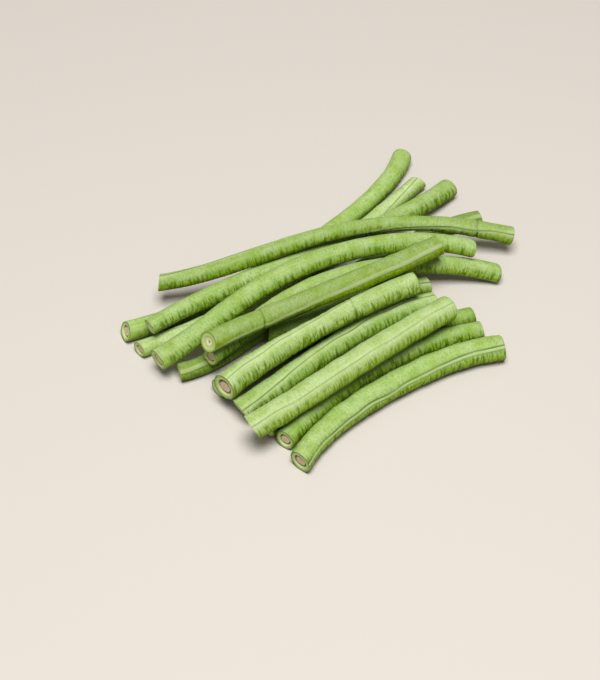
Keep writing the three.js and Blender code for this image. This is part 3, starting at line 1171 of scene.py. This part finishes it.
UPPER_RUN = (
    Pod(
        "bean_long_hidden", SKIN_DEEP, radii=(3.6, 3.5, 3.1, 3.1, 3.2), seam=(38, 30),
        route=((-68, 3.5), (-39, -6), (-10, 22.5), (16.5, 4.5), (47, 21.5), (74.5, 10)),
        cuts=((3, -3), (8, -12)), puckers=Puckers(0.18, 1.5), suture=Suture.BAND, dome=0.5, tone=0.85,
    ),
    Pod(
        "bean_arched", SKIN_MID, radii=(3.5, 3.5, 3.7), seam=(-40, -52),
        route=(
            (-57.5, -1.5, 10.4), (-33, 1, 14), (-9, 15.5, 15.5),
            (19, 3.5, 14), (42, -3, 10), (62, -18.5, 3.7),
        ),
        cuts=((7, 16), (18, 7)), seeded=True, puckers=Puckers(0.3, 1.6), dome=1.6,
    ),
    Pod(
        "bean_long_bowed", SKIN_MID, radii=(4.3, 4, 4, 3.8, 3.5), seam=(-64, -48),
        route=(
            (-74, 8.6, 9.1), (-47.5, 6, 14.2), (-21, 24, 18.5),
            (6, 13, 18.5), (36, 10.5, 17.5), (55.7, -9.9, 13.1),
        ),
        cuts=((12, 7), (20, 10)), seeded=True, puckers=Puckers(0.29, 1.6), dome=1.3,
    ),
    Pod(
        "bean_straight_top", SKIN_LIGHT, radii=(4.1, 3.9, 4.3, 4.2), seam=(95, 86, 62, 50, 50),
        route=((-58, -2, 19.5), (-24.5, -2, 20), (8.5, -7, 20), (41.5, -6.5, 20.5)),
        cuts=((11, 21), (-6, -8)), puckers=Puckers(0.16, 1.1), creases=Creases((0.22,)),
        suture=Suture.BAND, dome=0.4, tone=0.72, richness=1.17,
    ),
    Pod(
        "bean_thin_top", SKIN_MID, radii=(3.3, 3.5, 3.1, 3, 3.8), seam=(-14, -57, -145),
        route=(
            (-55.5, 40.4, 11.5), (-29.5, 26.9, 14.7), (-2.5, 22.2, 25.3),
            (28.5, 22.8, 21), (54.5, 9, 13.5), (75.5, -8.5, 8.5),
        ),
        cuts=((-7, 11), (9, 5)), puckers=Puckers(0.26, 1.4), creases=Creases((0.9,)),
        suture=Suture.LINE, dome=0.5, tone=0.9, richness=1.02,
    ),
)
LOWER_ROW = (
    Pod(
        "bean_wide_end", SKIN_LIGHT, radii=(5.2, 4.7, 3.9, 4.3, 4.5), seam=(15, -12, -70),
        route=((-61, -18, 12), (-39.5, -13, 13.5), (-18, -14, 14.5), (4, -11, 15), (26, -14, 14.5)),
        cuts=((2, 9), (-1, -3)), seeded=True, puckers=Puckers(0.42, 1.9), creases=Creases((0.68,)),
        suture=Suture.LINE, mark=0.7, dome=0.7,
    ),
    Pod(
        "bean_under_wide_end", SKIN_MID, radii=(3.7, 3.3, 3.3), seam=(40, 24),
        route=((-60, -11.2), (-35, -6), (-12, -13), (12.5, 1.5), (36, -9)),
        cuts=((-4, 2), (15, 0)), puckers=Puckers(0.2, 1.5), suture=Suture.LINE,
    ),
    Pod(
        "bean_short_gap", SKIN_DEEP, radii=(2.8, 2.8, 2.8), seam=(-30, -40),
        route=((-31.3, -0.7, 7.2), (-6.5, -1.6, 2.4), (15.5, 2.5, 3), (37.5, 3.5, 2.9)),
        cuts=((-34, 0), (5, 0)), puckers=Puckers(0.18, 1.5), tone=0.95,
    ),
    Pod(
        "bean_low_seamed", SKIN_MID, radii=(4.8, 4.6, 4.4, 4.5, 4.6), seam=(36, 10, 4, -8),
        route=((-58.5, -25.5), (-36.5, -21.5), (-15.5, -17), (8, -11), (32, -19.3)),
        cuts=((-6, -20), (15, 0)), puckers=Puckers(0.4, 1.6), suture=Suture.LINE,
    ),
    Pod(
        "bean_broad_top", SKIN_LIGHT, radii=(4.9, 5.2, 5.2, 5.1, 4.9), seam=(30, 30, 22),
        route=((-62, -39.4, 12.3), (-39, -39.3, 13.6), (-16, -34, 14.5), (7, -32.5, 14.5), (29.5, -31, 14.5)),
        cuts=((-3, -19), (3, 6)), puckers=Puckers(0.24, 1.3), suture=Suture.LINE, mark=0.6, dome=1.3,
    ),
    Pod(
        "bean_under_broad", SKIN_DEEP, radii=(3.5, 3.4, 3.5), seam=(-35, -50),
        route=((-54.5, -37), (-32, -29), (-8, -22.6), (16.5, -24), (41.2, -31.2)),
        cuts=((-5, 0), (7, -3)), puckers=Puckers(0.24, 1.6),
    ),
    Pod(
        "bean_front_inner", SKIN_MID, radii=(3.9, 3.9, 4, 3.9, 3.6), seam=(-48, -60),
        route=((-51.8, -44.9), (-31, -36.5), (-8, -31), (17, -31), (39.7, -39.3)),
        cuts=((1, 9), (2, -8)), seeded=True, puckers=Puckers(0.42, 1.9), creases=Creases((0.44,)),
        tone=0.92, richness=1.04,
    ),
    Pod(
        "bean_front_outer", SKIN_MID, radii=(4.4, 4.7, 4.9, 5, 5), seam=(73, 60, 63, 50, 37),
        route=((-52.5, -56.5), (-30.5, -42.5), (-6.5, -46), (19, -41), (40.5, -51.5)),
        cuts=((-15, 3), (5, -4)), seeded=True, puckers=Puckers(0.36, 1.5), suture=Suture.DOUBLE, tone=1.04,
    ),
)


@dataclass(frozen=True)
class Studio:
    """The plain pale floor, the soft light and the camera at the photograph's angle, laid out in metres.

    Attributes:
        target: The point on the floor that the camera looks at.
        azimuth: Where the camera stands round the pile, in degrees.
        elevation: How high it stands, in degrees.
        distance: How far it is from the target.
        lens: Its focal length, in millimetres.
    """

    target: Place = (-0.02021, -0.003655, 0.0)
    azimuth: float = -32.0
    elevation: float = 48.8
    distance: float = 0.703
    lens: float = 97.94

    SENSOR_MM = 36.0
    # The nearest and the furthest that the camera sees
    SIGHT = (0.05, 20.0)
    # Half the width of the floor, which lies this far below the pods' flats so that they share no plane
    FLOOR_HALF = 3.0
    FLOOR_DROP = 0.02 * MM
    # Matt studio paper, rolled smooth: it gives the eye a plain pale ground that takes soft shadows
    PAPER = 0xC5C1BD
    PAPER_ROUGHNESS = 0.75
    # The room's own light is faint and a little warm
    SKY = 0xFFF6E6
    SKY_STRENGTH = 0.25
    LAMP = 0xFFFCF7
    LAMP_PLACE = (-0.15, -0.25, 1.22)
    LAMP_SIZE = 0.6
    LAMP_WATTS = 20.6

    def build(self) -> None:
        """Makes the floor, the lights and the camera."""
        self.floor()
        self.lights()
        self.camera()

    def paper(self) -> bpy.types.Material:
        """Makes the floor's material.

        Returns:
            The matt paper.
        """
        made = bpy.data.materials.new("matt_studio_paper")
        made.use_nodes = True
        shader = made.node_tree.nodes["Principled BSDF"]
        shader.inputs["Base Color"].default_value = linear(self.PAPER)
        shader.inputs["Roughness"].default_value = self.PAPER_ROUGHNESS
        return made

    def floor(self) -> None:
        """Lays the floor."""
        reach = self.FLOOR_HALF
        mesh = bpy.data.meshes.new("floor")
        corners = [(-reach, -reach), (reach, -reach), (reach, reach), (-reach, reach)]
        mesh.from_pydata([(x, y, -self.FLOOR_DROP) for x, y in corners], [], [(0, 1, 2, 3)])
        mesh.materials.append(self.paper())
        floor = bpy.data.objects.new("floor", mesh)
        bpy.context.scene.collection.objects.link(floor)

    def lights(self) -> None:
        """Hangs one broad soft light overhead, leaning toward the camera, in a pale room."""
        world = bpy.data.worlds.new("pale_room")
        world.use_nodes = True
        sky = world.node_tree.nodes["Background"]
        sky.inputs["Color"].default_value = linear(self.SKY)
        sky.inputs["Strength"].default_value = self.SKY_STRENGTH
        bpy.context.scene.world = world
        light = bpy.data.lights.new("overhead_softbox", "AREA")
        light.size = self.LAMP_SIZE
        light.energy = self.LAMP_WATTS
        light.color = linear(self.LAMP)[:3]
        lamp = bpy.data.objects.new("overhead_softbox", light)
        lamp.location = self.LAMP_PLACE
        lamp.rotation_euler = (-Vector(self.LAMP_PLACE)).to_track_quat("-Z", "Y").to_euler()
        bpy.context.scene.collection.objects.link(lamp)

    def camera(self) -> None:
        """Sets the camera where the photograph was taken from, with colours shown as they are."""
        turn, rise = math.radians(self.azimuth), math.radians(self.elevation)
        back = Vector((math.sin(turn) * math.cos(rise), -math.cos(turn) * math.cos(rise), math.sin(rise)))
        data = bpy.data.cameras.new("camera")
        data.lens = self.lens
        data.sensor_width = self.SENSOR_MM
        data.clip_start, data.clip_end = self.SIGHT
        camera = bpy.data.objects.new("camera", data)
        camera.location = Vector(self.target) + back * self.distance
        camera.rotation_euler = (-back).to_track_quat("-Z", "Y").to_euler()
        bpy.context.scene.collection.objects.link(camera)
        bpy.context.scene.camera = camera
        bpy.context.scene.view_settings.view_transform = "Standard"


def main() -> None:
    """Builds the studio and the pile."""
    logging.basicConfig(level=logging.INFO, format="%(name)s: %(message)s")
    Studio().build()
    BeanPile({"back fan": BACK_FAN, "upper run": UPPER_RUN, "lower row": LOWER_ROW}).build()


if __name__ == "__main__":
    main()
